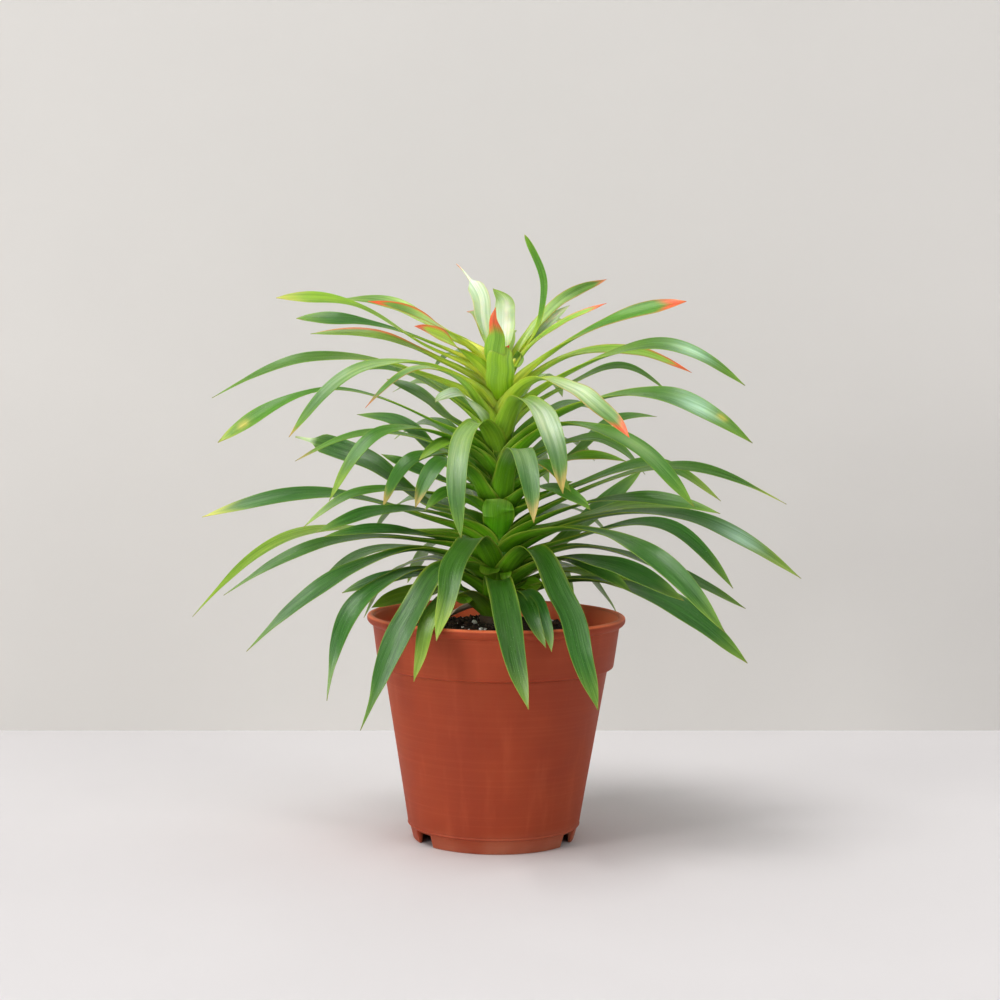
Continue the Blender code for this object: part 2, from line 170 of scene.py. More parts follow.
# Tints of the tip by word: colour, strength, where along the leaf they begin and over what share they rise
RED_TIPS = {
    "red": (ORANGE_RED, 1.0, 0.83, 0.08),
    "flame": (ORANGE_RED, 1.0, 0.66, 0.16),
    "pink": (PINK_RED, 0.9, 0.86, 0.10),
    "redpoint": (PINK_RED, 0.9, 0.92, 0.05),
}
FADED_TIPS = {
    "spotted": (TIP_YELLOW, 0.6, 0.90, 0.06),
    "yellow": (TIP_YELLOW, 0.85, 0.83, 0.12),
    "limetip": (TIP_LIME, 0.7, 0.72, 0.22),
    "dry": (TIP_DRY, 0.9, 0.84, 0.10),
}
# Where along the leaf a red upper edge begins, by word
RED_EDGES = {"fire": 0.3, "ember": 0.6}
# Painted highlights by word, sheen, silver and glint: colour, strength, centre and size along the leaf, and
# fading to the margins
PAINTED_HIGHLIGHTS = {
    "sheen": (PALE_AND_SHEEN_GREEN, 0.26, 0.66, 0.13, 1.0),
    "silver": (NEAR_WHITE_AND_HIGHLIGHT, 0.55, 0.60, 0.16, 0.7),
    "glint": (PAINTED_GLINT_WHITE, 0.75, 0.77, 0.08, 0.7),
}
# Dry spots by word: strength, then centre and size along and across the leaf
SPOTS = {"spot": (0.85, 0.86, 0.018, 0.45, 0.35), "spotted": (0.80, 0.90, 0.02, 0.0, 0.6)}

Leaf = namedtuple("Leaf", "turn base shoulder bend tip width look sway twist", defaults=("", 0.0, None))

# turn: degrees round the stem, 0 to the right, 90 to the back and -90 to the front
# base: height of the leaf's foot on the stem
# shoulder, bend, tip: (reach from the stem's axis, height) of three points along its midrib
# width: of the blade at its widest; look: words for its outline, tints and painted highlights
# sway: sideways drift of the tip; twist: degrees that the outer half is rolled, else by the turn


def leaves(rows):
    return [Leaf(*row) for row in rows]


OUTER_LEAVES = leaves([
    # lowest leaves, which hang over the rim
    (-172, 109, (31, 123), (52, 122), (72, 115), 8, "cool"),
    (-25, 110, (36, 122), (80, 118), (123, 91), 12.5, "cool"),
    (70, 109, (40, 125), (80, 122), (116, 98), 12),
    (-91, 111.5, (46, 125.5), (94, 110.5), (127, 82), 12, "", 16),
    (-145, 115, (50, 127), (79, 112), (93, 72.5), 10, "cool tail", 4),
    (-2, 114.5, (29, 125), (51, 123), (71, 114), 9, "moss"),
    (112, 115, (40, 132), (84, 130), (124, 106), 12),
    (-122, 119.5, (46, 130), (74, 109), (108, 66), 12, "cool tail"),
    (-38, 118, (36, 133), (64, 133), (104, 120), 11.5, "cool"),
    (50, 119, (45, 134), (80, 152), (112, 168), 10, "cool light"),
    (-150, 123.5, (38, 136), (78, 128), (126, 95), 9.5, "cool tail"),
    (-62, 121.5, (34, 138), (64, 116), (94, 74.5), 12, "cool"),
    # spreading lower leaves
    (15, 123.5, (34, 135), (78, 127), (124, 105), 9),
    (-106, 126.5, (36, 143), (66, 135), (90, 104), 11, "limetip"),
    (-163, 129.5, (40, 140), (84, 139), (128, 116.5), 8, "tail"),
    (88, 125, (40, 144), (86, 148), (130, 124), 11.5),
    (-12, 127.5, (36, 141), (78, 149), (110, 121), 9, "cool"),
    (172, 134, (48, 142), (98, 139), (146, 99), 8.5, "tail moss"),
    (5, 131, (36, 147), (84, 152), (144, 122), 10.5, "cool limetip glint"),
    (-42, 134.5, (36, 146), (82, 143), (131, 109.5), 11, "cool"),
    (-172, 137, (38, 151), (80, 161), (136, 150), 9, "yellow cool"),
    (30, 136, (40, 147), (72, 154), (109, 151), 7, "light"),
    (-20, 139, (34, 155), (72, 162), (106, 156), 8),
    (-151, 140.5, (30, 152), (60, 155), (92, 146), 8, "cool"),
    (-88, 143.5, (11.5, 150), (14, 155), (14.5, 160), 15, "blunt deep front"),
    (148, 143.5, (40, 154), (70, 172), (118, 183.5), 11, "cool curl", 0, -62),
    (0, 142, (36, 161), (86, 175), (134, 158), 7.5, "yellow cool light tail"),
    (78, 147, (38, 166), (82, 176), (124, 158), 11),
    (15, 149.5, (40, 165), (78, 175), (110, 157), 8.5, "limetip"),
    (-50, 152.5, (24, 165), (42, 166), (64, 158), 8),
    (105, 151, (36, 172), (78, 182), (122, 166), 11),
    # middle leaves
    (-78, 157.5, (24, 177), (46, 184), (76, 154), 10, "pale dry cool"),
    (-126, 154.5, (24, 173), (42, 178), (62, 158), 9, "dry cool"),
    (35, 156, (46, 180), (68, 195), (94, 196), 6, "cool light"),
    (140, 159, (34, 174), (56, 190), (90, 195), 8, "cool"),
    (-156, 163, (24, 179), (42, 178), (57, 156), 8, "dry cool"),
    (92, 165, (34, 190), (72, 200), (116, 184), 10.5),
    (160, 169, (34, 184), (64, 188), (104, 173), 5, "dry"),
    (24, 168, (30, 183), (54, 186), (77, 169), 8),
    (-146, 172, (30, 188), (62, 191), (90, 160.5), 7, "cool limetip"),
    (-30, 173, (30, 193), (62, 190), (100, 160), 10, "cool sheen"),
    (-172, 177, (34, 196), (78, 209), (129, 184), 8, "paddle spotted green"),
    (-114, 183, (22, 194), (44, 190), (74, 147), 9.6, "pale cool", 16),
    (-20, 178, (36, 201), (76, 209), (120, 188), 12, "cool glint spot"),
    (150, 181, (30, 197), (44, 207), (62, 213), 7, "cool pale"),
    (72, 184, (32, 208), (66, 216), (104, 204), 10),
    (-66, 186, (23, 205), (46, 202), (76, 166.5), 10.5, "pale dry cool silver", -3),
    # upper leaves
    (156, 187, (32, 209), (56, 219), (84, 215), 6, "cool"),
    (22, 190, (36, 212), (62, 221), (87, 208.5), 5, "cool"),
    (-50, 197, (26, 214), (50, 211.5), (88, 191), 10, "pale red silver"),
    (110, 193, (30, 215), (60, 226), (96, 218), 9, "cool"),
    (-135, 190.5, (26, 214), (54, 219), (82, 202), 6, "pale pink slim"),
    (-8, 193.5, (36, 219), (78, 231), (113, 213), 9, "cool glint"),
    (-176, 197, (40, 217), (88, 223), (132, 204), 8, "cool tail"),
    (18, 201, (32, 224), (66, 228), (96, 218), 8, "red ember light"),
    (-156, 200, (32, 219), (68, 219), (102, 188), 7, "pale redpoint cool"),
])

# Old leaves joined to the stem's foot
OLD_LEAVES = leaves([
    (-152, 104, (28, 117), (46, 116), (64, 111), 11, "moss"),
    (-116, 104, (40, 119), (64, 112), (80, 84), 8, "light limetip"),
    (-64, 104, (30, 119), (54, 113), (70, 97), 7.5, "cool", -8),
    (-78, 104, (30, 118), (54, 113), (71, 99), 8, "", 7),
])

# Young leaves joined to the stem's growing tip
YOUNG_LEAVES = leaves([
    (-89, 201, (11.5, 209), (13.5, 218), (12, 229.5), 13, "blunt lime front"),
    (-5, 203, (28, 229), (56, 244), (85.5, 251), 8.5, "red green late"),
    (170, 204, (30, 223), (58, 234), (90, 234), 6.2, "fire moss"),
    (40, 205, (14, 229), (34, 249), (66, 262), 7, "pink pale"),
    (-148, 206, (18, 225), (32, 234), (45.5, 238), 11, "red fire bright"),
    (10, 207, (14, 229), (28, 240), (50, 250), 4, "red light ember"),
    (-172, 208, (38, 231), (68, 248), (103, 250), 7, "paddle yellow light"),
    (-100, 208, (11, 221), (14, 234), (16, 247), 10.4, "flame spear"),
    (35, 209, (16, 230), (26, 240), (40, 249), 6, "white"),
    (-168, 209, (8, 216), (11, 222), (13, 227), 7, "red fire bright"),
    (178, 210, (36, 232), (64, 240), (94.5, 241), 8, "cool green paddle"),
    (25, 212, (20, 240), (22, 259), (12, 281), 3.8, "blunt green"),
    (125, 212, (12, 236), (20, 256), (37, 268), 9, "white pink whip"),
    (-166, 214, (26, 236), (42, 245), (62, 249), 6, "red pale fire"),
    (75, 214, (12, 236), (16, 249), (6, 256), 10, "white limetip", 4.5),
    (-70, 214, (9, 220), (10, 225), (11, 230), 7, "red"),
    (10, 216, (8, 220), (9, 224), (8, 227.5), 7, "pale"),
    (150, 218, (30, 234), (56, 248), (88, 251), 8, "pale"),
])

# Small leaves between the others, too thin or too hidden for solids of their own
INNER_LEAVES = leaves([
    (-130, 148, (22, 161), (34, 164), (50, 156), 7),
    (-55, 160, (24, 177), (38, 177), (56, 166), 7, "edge"),
    (-40, 147, (22, 158), (36, 166), (44, 169), 8),
    (165, 158, (26, 166), (40, 172), (57, 178), 7, "cool"),
    (-160, 150, (36, 162), (70, 162), (93, 147), 5, "limetip"),
    (-158, 132, (34, 142), (60, 146), (84, 143), 7, "cool"),
    (-20, 160, (22, 172), (40, 180), (62, 178), 6, "edge light"),
    (-140, 168, (16, 180), (30, 186), (46, 178), 7, "light"),
    (-30, 122, (20, 130), (44, 132), (70, 120), 8),
    (-136, 184, (14, 200), (26, 208), (40, 204), 8, "white"),
])

# Short old leaf bases that bulge at the plant's foot
KNUCKLES = leaves([
    (-98, 118.5, (15, 125.5), (21, 128.5), (27, 126), 10, "blunt olive"),
    (-78, 117, (13, 123.5), (18, 126), (23, 123.5), 6, "blunt olive"),
    (-145, 109, (12, 114), (17, 115.5), (23, 112.5), 13, "blunt olive"),
    (-40, 112, (13, 118), (19, 120.5), (25, 118.5), 9, "blunt olive"),
])

# More leaves at the hidden back
BACK_LEAVES = leaves([
    (130, 112, (38, 126), (74, 120), (104, 92), 11),
    (90, 110, (34, 122), (64, 112), (88, 84), 11),
    (52, 112, (34, 124), (66, 120), (98, 96), 10),
    (150, 118, (40, 132), (76, 128), (108, 104), 10),
    (60, 130, (36, 146), (74, 150), (112, 134), 10),
    (124, 133, (36, 150), (76, 154), (114, 134), 11),
    (100, 138, (32, 154), (66, 160), (100, 148), 10),
    (62, 156, (32, 174), (66, 184), (104, 172), 10),
    (122, 162, (30, 182), (62, 192), (98, 182), 9),
    (50, 174, (28, 194), (56, 202), (88, 192), 8, "cool"),
    (128, 180, (28, 202), (54, 212), (86, 206), 8),
    (85, 200, (22, 224), (44, 236), (74, 234), 8, "light"),
    (60, 204, (18, 226), (38, 240), (66, 242), 7, "light"),
    (105, 206, (16, 228), (34, 242), (62, 246), 7, "red light"),
])

FALLEN_LEAF = Leaf(141, 101, (17, 106.2), (26, 102.8), (36, 100.2), 9, "", -4, -30)
FALLEN_START = (9.6, 107.4)

# White chips seen in front of the stem: x, y and size
PERLITE_SEEN = [
    (-17.4, -6, 0.8), (-9.8, -7, 1.6), (-6.9, -20, 1.3), (-7.2, 9, 0.8), (-4.6, -3, 0.9), (-2.3, -16, 0.8),
    (-10.9, 16, 0.5), (10.6, -3, 0.8), (-12.5, -22, 0.7), (-4.8, -27, 0.6), (-8.4, -13, 0.6), (0.5, -21, 0.6),
    (-15.5, -14, 0.6), (-20.5, -12, 0.7),
]


# Shared maths

def ease(value):
    value = np.clip(value, 0.0, 1.0)
    return value * value * (3 - 2 * value)


def hill(place, centre, size):
    """1 at the centre, falling off smoothly on both sides."""
    return np.exp(-(((place - centre) / size) ** 2))


def mix(first, second, share):
    """Blend of two colours, or of rows of colours, by a share for each row."""
    share = np.asarray(share, float)
    share = share[..., None] if share.ndim else share
    return first * (1 - share) + second * share


def wave_noise(place, seed, count=4):
    """Smooth seeded noise of about -1 to 1 along a line."""
    draw = np.random.default_rng(seed)
    total = np.zeros_like(place, float)
    for k in range(1, count + 1):
        total += draw.uniform(-1, 1) * np.sin(2 * math.pi * (k * place * 0.8 + draw.uniform()))
    return total / math.sqrt(count)


def hermite(t, first, last, slope, last_slope):
    """Cubic from first to last as t goes from 0 to 1, with the slopes at both ends."""
    return (
        (2 * t**3 - 3 * t**2 + 1) * first
        + (t**3 - 2 * t**2 + t) * slope
        + (3 * t**2 - 2 * t**3) * last
        + (t**3 - t**2) * last_slope
    )


def circle(count):
    return [2 * math.pi * k / count for k in range(count)]


# Shared mesh helpers

def new_object(name, verts, faces, mat, scale=MM):
    """Smooth mesh object of points in millimetres, or of another unit."""
    mesh = bpy.data.meshes.new(name)
    mesh.from_pydata((np.asarray(verts, float) * scale).tolist(), [], faces)
    mesh.update()
    mesh.materials.append(mat)
    mesh.shade_smooth()
    return link_new(name, mesh)


def link_new(name, data):
    obj = bpy.data.objects.new(name, data)
    studio.collection.objects.link(obj)
    return obj


def face_out(mesh):
    bm = bmesh.new()
    bm.from_mesh(mesh)
    bmesh.ops.recalc_face_normals(bm, faces=bm.faces)
    bm.to_mesh(mesh)
    bm.free()


def add_values(mesh, name, kind, field, values):
    """Stores a value for each vertex, which the materials read by its name."""
    attribute = mesh.attributes.new(name, kind, "POINT")
    attribute.data.foreach_set(field, np.asarray(values, np.float32).ravel())


def place_piece(obj, slot, *nodes):
    """Lets a piece ride with the object and stand for its CAD nodes, which it hides. The slot is not used."""
    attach(obj, BODY)
    if nodes:
        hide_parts(*nodes)
    return obj


# Node helpers

class Nodes:
    """Short calls that build a material's node tree."""

    def __init__(self, name):
        self.mat = bpy.data.materials.new(name)
        self.mat.use_nodes = True
        self.tree = self.mat.node_tree

    def fill(self, node, inputs):
        """Links an output to each input, or sets a number, vector or colour on it."""
        for key, value in inputs.items():
            socket = node.inputs[key]
            if isinstance(value, bpy.types.NodeSocket):
                self.tree.links.new(value, socket)
            elif value is not None:
                socket.default_value = (*value[:3], 1.0) if socket.type == "RGBA" else value

    def add(self, kind, inputs, **settings):
        node = self.tree.nodes.new(kind)
        for key, value in settings.items():
            setattr(node, key, value)
        self.fill(node, inputs)
        return node

    def attribute(self, name, output="Color"):
        return self.add("ShaderNodeAttribute", {}, attribute_name=name).outputs[output]

    def object_place(self):
        return self.add("ShaderNodeTexCoord", {}).outputs["Object"]

    def axes(self, vector):
        return self.add("ShaderNodeSeparateXYZ", {"Vector": vector}).outputs

    def noise(self, vector, scale, detail, roughness=0.55):
        inputs = {"Vector": vector, "Scale": scale, "Detail": detail, "Roughness": roughness}
        return self.add("ShaderNodeTexNoise", inputs).outputs["Fac"]

    def streaks(self, vector, stretch, detail, roughness=0.55, scale=1.0):
        """Noise stretched by a factor for each axis."""
        mapping = self.add("ShaderNodeMapping", {"Vector": vector, "Scale": stretch})
        return self.noise(mapping.outputs["Vector"], scale, detail, roughness)

    def cells(self, vector, scale):
        return self.add("ShaderNodeTexVoronoi", {"Vector": vector, "Scale": scale}).outputs["Distance"]

    def span(self, value, low, high, to_low=0.0, to_high=1.0):
        """Smooth step from to_low to to_high while the value goes from low to high."""
        inputs = {"Value": value, "From Min": low, "From Max": high, "To Min": to_low, "To Max": to_high}
        return self.add("ShaderNodeMapRange", inputs, interpolation_type="SMOOTHSTEP").outputs["Result"]

    def maths(self, operation, first, second=0.5):
        return self.add("ShaderNodeMath", {0: first, 1: second}, operation=operation).outputs["Value"]

    def blend(self, share, first, second, kind="MIX"):
        inputs = {0: share, 6: first, 7: second}
        return self.add("ShaderNodeMix", inputs, data_type="RGBA", blend_type=kind).outputs[2]

    def times(self, first, second):
        return self.blend(1.0, first, second, "MULTIPLY")

    def bump(self, height, distance, strength, before=None):
        inputs = {"Strength": strength, "Distance": distance, "Height": height, "Normal": before}
        return self.add("ShaderNodeBump", inputs).outputs["Normal"]

    def finish(self, colour, roughness, normal=None, **constants):
        """Links the results and sets constants on the shader's own sockets."""
        inputs = {"Base Color": colour, "Roughness": roughness, "Normal": normal, **constants}
        inputs = {key.replace("_", " "): value for key, value in inputs.items()}
        self.fill(self.tree.nodes["Principled BSDF"], inputs)
        return self.mat


# Materials

def leaf_material(name, roughness, coat, glow):
    """Leaf: its own painted gradient, with bands, veins, blotches, pale scales and a waxy gloss."""
    n = Nodes(name)
    grain = n.attribute("leaf_grain", "Vector")
    across = n.attribute("leaf_across", "Fac")
    under = n.attribute("leaf_under", "Fac")
    bands = n.streaks(grain, (0.62, 0.012, 1.0), 2.0, 0.5)
    veins = n.streaks(grain, (2.6, 0.05, 1.0), 3.0, 0.6)
    fine = n.streaks(grain, (7.0, 0.09, 1.0), 2.0)
    blotch = n.streaks(grain, (0.16, 0.05, 1.0), 3.0)
    scales = n.streaks(grain, (1.7, 1.1, 1.0), 2.0, scale=1.6)
    shade = n.blend(n.span(bands, 0.36, 0.62), (0.80, 0.86, 0.72), (1.12, 1.08, 1.05))
    tone = n.times(n.attribute("leaf_tone"), shade)
    dark = n.times(tone, (0.72, 0.79, 0.66))
    light = n.blend(0.08, tone, (0.56, 0.76, 0.34))
    colour = n.blend(n.span(veins, 0.34, 0.68), dark, light)
    colour = n.blend(n.span(fine, 0.30, 0.70, 0.0, 0.30), colour, tone)
    colour = n.blend(n.span(blotch, 0.42, 0.70, 0.0, 0.35), colour, n.times(tone, (1.25, 1.12, 0.8)))
    colour = n.blend(n.span(scales, 0.66, 0.78, 0.0, 0.30), colour, PALE_AND_SHEEN_GREEN)
    edge = n.span(n.maths("ABSOLUTE", across), 0.90, 0.985, 0.0, 0.5)
    colour = n.blend(edge, colour, n.blend(0.5, tone, MARGIN_GREEN))
    rough = n.span(blotch, 0.3, 0.7, roughness - 0.05, roughness + 0.07)
    rough = n.maths("ADD", rough, n.span(under, 0, 1, 0.0, 0.10))
    rough = n.maths("ADD", rough, n.span(fine, 0.3, 0.7, -0.03, 0.05))
    normal = n.bump(bands, 0.0006, 0.22)
    normal = n.bump(veins, 0.00022, 0.6, normal)
    normal = n.bump(fine, 0.00008, 0.5, normal)
    return n.finish(
        colour, rough, normal, IOR=1.40, Coat_Weight=coat, Coat_Roughness=0.20,
        Subsurface_Weight=glow, Subsurface_Radius=(0.6, 0.9, 0.1), Subsurface_Scale=0.0014,
    )


def pot_material():
    """Translucent plastic with turned rings and scuffs, a painted highlight on the lip and painted light on
    the inner wall, and a dusty foot.
    """
    n = Nodes("pot_plastic")
    place = n.object_place()
    axes = n.axes(place)
    height = axes["Z"]
    broad = n.noise(place, 22.0, 3.0)
    rings = n.streaks(place, (9, 9, 900), 3.0, 0.6)
    flow = n.streaks(place, (160, 160, 7), 3.0)
    fine = n.noise(place, 1400.0, 2.0)
    scuffs = n.streaks(place, (60, 60, 800), 4.0, 0.7)
    colour = n.blend(n.span(broad, 0.35, 0.68), TERRACOTTA_DARK, TERRACOTTA)
    colour = n.blend(n.span(rings, 0.45, 0.80, 0.0, 0.05), colour, PALE_TERRACOTTA_AND_PAINTED_LIGHT)
    colour = n.blend(n.span(flow, 0.50, 0.80, 0.0, 0.08), colour, PALE_TERRACOTTA_AND_PAINTED_LIGHT)
    colour = n.blend(n.span(scuffs, 0.68, 0.82, 0.0, 0.14), colour, SCUFF)
    squares = [n.maths("POWER", axes[name], 2.0) for name in "XY"]
    reach = n.maths("POWER", n.maths("ADD", *squares), 0.5)
    slant = n.maths("SUBTRACT", reach, n.maths("MULTIPLY", height, 0.13))
    # Painted light: the inner wall above the soil is painted paler as if lit, and the top of the lip carries
    # a painted highlight
    painted_inner_wall_light = n.maths("MULTIPLY", n.span(height, 0.088, 0.092), n.span(slant, 0.0440, 0.0432))
    painted_lip_and_wall_light = n.maths("MAXIMUM", n.span(height, 0.1036, 0.1046, 0.0, 0.8), painted_inner_wall_light)
    colour = n.blend(painted_lip_and_wall_light, colour, PALE_TERRACOTTA_AND_PAINTED_LIGHT)
    foot = n.maths("MULTIPLY", n.span(height, 0.012, 0.0, 0.0, 0.35), n.span(broad, 0.3, 0.7))
    colour = n.blend(foot, colour, FOOT_DUST)
    rough = n.maths("ADD", n.span(broad, 0.3, 0.7, 0.52, 0.62), n.span(scuffs, 0.55, 0.80, 0.0, 0.12))
    normal = n.bump(fine, 0.00003, 0.35, n.bump(rings, 0.00005, 0.12))
    return n.finish(
        colour, rough, normal, IOR=1.34,
        Subsurface_Weight=0.4, Subsurface_Radius=(1.0, 0.32, 0.18), Subsurface_Scale=0.004,
    )


def soil_material(name, dark, light):
    """Damp crumbs: two browns, painted shade in the gaps between the grains, and darker patches."""
    n = Nodes(name)
    place = n.object_place()
    coarse = n.noise(place, 260.0, 5.0, 0.65)
    grains = n.cells(place, 900.0)
    patch = n.noise(place, 60.0, 3.0)
    colour = n.blend(n.span(coarse, 0.38, 0.68), dark, light)
    # Painted shade: a cell pattern darkened for the gaps between the grains
    colour = n.blend(n.span(grains, 0.1, 0.7, 0.55, 0.0), colour, dark * 0.5)
    colour = n.blend(n.span(patch, 0.4, 0.7, 0.0, 0.4), colour, dark)
    normal = n.bump(grains, 0.0004, 0.6, n.bump(coarse, 0.0008, 0.8))
    return n.finish(colour, n.span(coarse, 0.3, 0.7, 0.78, 0.96), normal)


def perlite_material():
    n = Nodes("perlite")
    place = n.object_place()
    stain = n.noise(place, 420.0, 4.0)
    colour = n.blend(n.span(stain, 0.50, 0.78, 0.0, 0.5), PERLITE_WHITE, PERLITE_STAIN)
    return n.finish(colour, n.span(stain, 0.3, 0.7, 0.75, 0.92), n.bump(n.cells(place, 1500.0), 0.0003, 0.8))


def stem_material():
    """Fibrous bark, brown at the soil and lime at the growing tip."""
    n = Nodes("stem_bark")
    place = n.object_place()
    height = n.axes(place)["Z"]
    fibres = n.streaks(place, (900, 900, 70), 4.0, 0.65)
    rings = n.streaks(place, (40, 40, 420), 3.0)
    colour = n.blend(n.span(height, 0.112, 0.130), STEM_BROWN, STEM_GREEN)
    colour = n.blend(n.span(height, 0.15, 0.20), colour, LIME)
    colour = n.blend(n.span(fibres, 0.35, 0.70, 0.5, 0.0), colour, n.times(colour, (0.45, 0.45, 0.4)))
    normal = n.bump(rings, 0.0006, 0.5, n.bump(fibres, 0.0004, 0.7))
    return n.finish(colour, n.span(fibres, 0.3, 0.7, 0.55, 0.75), normal)


def withered_material():
    """Dried leaf: papery, ribbed and stained."""
    n = Nodes("withered_leaf_skin")
    grain = n.attribute("leaf_grain", "Vector")
    ribs = n.streaks(grain, (2.2, 0.08, 1.0), 3.0, 0.6)
    stain = n.streaks(grain, (0.35, 0.16, 1.0), 4.0)
    colour = n.blend(n.span(ribs, 0.35, 0.68), WITHERED_DARK, WITHERED)
    colour = n.blend(n.span(stain, 0.40, 0.72, 0.0, 0.6), colour, WITHERED_STAIN)
    return n.finish(colour, n.span(stain, 0.3, 0.7, 0.62, 0.82), n.bump(ribs, 0.0005, 0.8))


# Leaf shapes

def stem_radius(height):
    share = (height - SOIL_HEIGHT) / (STEM_TIP - SOIL_HEIGHT)
    return STEM_RADIUS + (STEM_TIP_RADIUS - STEM_RADIUS) * min(max(share, 0.0), 1.0)


def heading(angle):
    """Direction of an angle in degrees above level, as reach and height."""
    return np.array([math.cos(math.radians(angle)), math.sin(math.radians(angle))])


def smooth_path(points, launch, count):
    """Evenly spaced points on a smooth curve that leaves its first point at the launch angle, in degrees."""
    points = np.array(points, float)
    spans = np.linalg.norm(np.diff(points, axis=0), axis=1)
    slopes = np.diff(points, axis=0) / spans[:, None]
    ways = [heading(launch)]
    for k in range(1, len(points) - 1):
        ways.append((slopes[k - 1] * spans[k] + slopes[k] * spans[k - 1]) / (spans[k - 1] + spans[k]))
    ways.append(1.5 * slopes[-1] - 0.5 * ways[-1])
    t = np.linspace(0, 1, 41)[1:, None]
    fine = [points[0]]
    for k, span in enumerate(spans):
        fine.extend(hermite(t, points[k], points[k + 1], span * ways[k], span * ways[k + 1]))
    fine = np.array(fine)
    along = np.concatenate([[0.0], np.cumsum(np.linalg.norm(np.diff(fine, axis=0), axis=1))])
    wanted = np.linspace(0, along[-1], count)
    return np.stack([np.interp(wanted, along, fine[:, k]) for k in range(2)], axis=1)


def leaf_youth(leaf):
    """0 for the lowest leaf, 1 for the highest."""
    return min(max((leaf.base - LOWEST_LEAF) / (HIGHEST_LEAF - LOWEST_LEAF), 0.0), 1.0)


def unit(vectors):
    return vectors / np.linalg.norm(vectors, axis=-1, keepdims=True)


def leaf_width(leaf, share, foot_width):
    """Width along a leaf: a broad foot, then the outline that its look names."""
    words = leaf.look.split()
    outline = next((name for name in OUTLINES if name in words), "plain")
    places, shares = np.array([(0, 0), *OUTLINES[outline]]).T
    widths = shares * leaf.width
    widths[0] = foot_width
    if outline in ("tail", "plain"):
        widths[1] += SHOULDER_EXTRA
    gaps = np.diff(places)
    rises = np.diff(widths) / gaps
    slopes = np.zeros(len(widths))
    for k, (before, after) in enumerate(zip(rises, rises[1:]), 1):
        if before * after > 0:
            slopes[k] = 2 * before * after / (before + after)
    slopes[-1] = 1.3 * rises[-1]
    k = np.clip(np.searchsorted(places, share, side="right") - 1, 0, len(gaps) - 1)
    t = (share - places[k]) / gaps[k]
    return hermite(t, widths[k], widths[k + 1], gaps[k] * slopes[k], gaps[k] * slopes[k + 1])


def sheath_path(start, launch, front):
    """The part of a leaf's foot that hugs the stem, deep between the older leaves or in front of them."""
    low = max(start[1] - SHEATH_DEPTH, SOIL_HEIGHT - 3)
    inner = stem_radius(low) + (SHEATH_FRONT if front else -SHEATH_SINK)
    depth = start[1] - low
    t = np.linspace(0, 1, SHEATH_ROWS + 1)[:-1, None]
    slopes = depth * np.array([0.05, 1.0]), depth * heading(launch)
    return hermite(t, np.array([inner, low]), np.array(start), *slopes)


def leaf_surface(leaf, start, seed, foot_width, sheath):
    """Upper and lower side of a leaf as grids of points, with the places along and across it."""
    launch = LOWEST_LAUNCH + (HIGHEST_LAUNCH - LOWEST_LAUNCH) * leaf_youth(leaf)
    hidden = SHEATH_ROWS if sheath else 0
    path = smooth_path([start, leaf.shoulder, leaf.bend, leaf.tip], launch, ROWS - hidden)
    length = np.linalg.norm(np.diff(path, axis=0), axis=1).sum()
    share = np.linspace(0, 1, ROWS - hidden)
    if sheath:
        path = np.concatenate([sheath_path(start, launch, "front" in leaf.look.split()), path])
        share = np.concatenate([np.zeros(hidden), share])
    turn = math.radians(leaf.turn)
    twist = SIDE_TWIST * math.cos(turn) if leaf.twist is None else leaf.twist
    outward = np.array([math.cos(turn), math.sin(turn), 0.0])
    sideways = np.array([-math.sin(turn), math.cos(turn), 0.0])
    loose = ease((share - 0.25) / 0.4)
    spine = path[:, :1] * outward + leaf.sway * share[:, None] ** 2 * sideways
    spine[:, 2] = path[:, 1]
    spine += (WAVER * loose * wave_noise(share, seed))[:, None] * sideways
    ahead = unit(np.gradient(spine, axis=0))
    side = unit(sideways - (ahead @ sideways)[:, None] * ahead)
    upward = np.cross(ahead, side)
    roll = math.radians(twist) * ease((share - 0.3) / 0.5)
    roll = (roll + math.radians(ROLL_WAVER) * loose * wave_noise(share, seed + 1, 3))[:, None]
    side, upward = side * np.cos(roll) + upward * np.sin(roll), upward * np.cos(roll) - side * np.sin(roll)
    width = np.maximum(leaf_width(leaf, share, foot_width), POINT_WIDTH)
    width = (width * (1 + 0.03 * loose * wave_noise(share, seed + 2, 5)))[:, None]
    foot_wrap = max(FOOT_WRAP, math.degrees(foot_width / 2 / start[0])) if sheath else FOOT_WRAP
    wrap = np.radians(foot_wrap + (BLADE_CUP - foot_wrap) * ease(share / 0.55))[:, None]
    across = np.sin(np.linspace(-math.pi / 2, math.pi / 2, COLUMNS))[None, :]
    angle = (wrap * across)[:, :, None]
    radius = (width / (2 * wrap))[:, :, None]
    arc = side[:, None, :] * np.sin(angle) + upward[:, None, :] * (1 - np.cos(angle))
    upper = spine[:, None, :] + radius * arc
    groove = 0.009 * width * hill(across, 0, 0.16) * loose[:, None]
    ripple = 0.012 * width * np.abs(across) ** 3 * np.sin(9 * math.pi * share + seed)[:, None]
    normal = unit(np.cross(np.gradient(upper, axis=0), np.gradient(upper, axis=1)))
    upper = upper + normal * (ripple - groove)[:, :, None]
    thick = BLADE_THICKNESS * (1 - 0.6 * np.abs(across) ** 3) * (1 + 0.5 * (1 - ease(share / 0.3)))[:, None]
    half = normal * (thick / 2 * (1 - 0.6 * ease((share - 0.8) / 0.2))[:, None])[:, :, None]
    return upper + half, upper - half, share, across, width, length


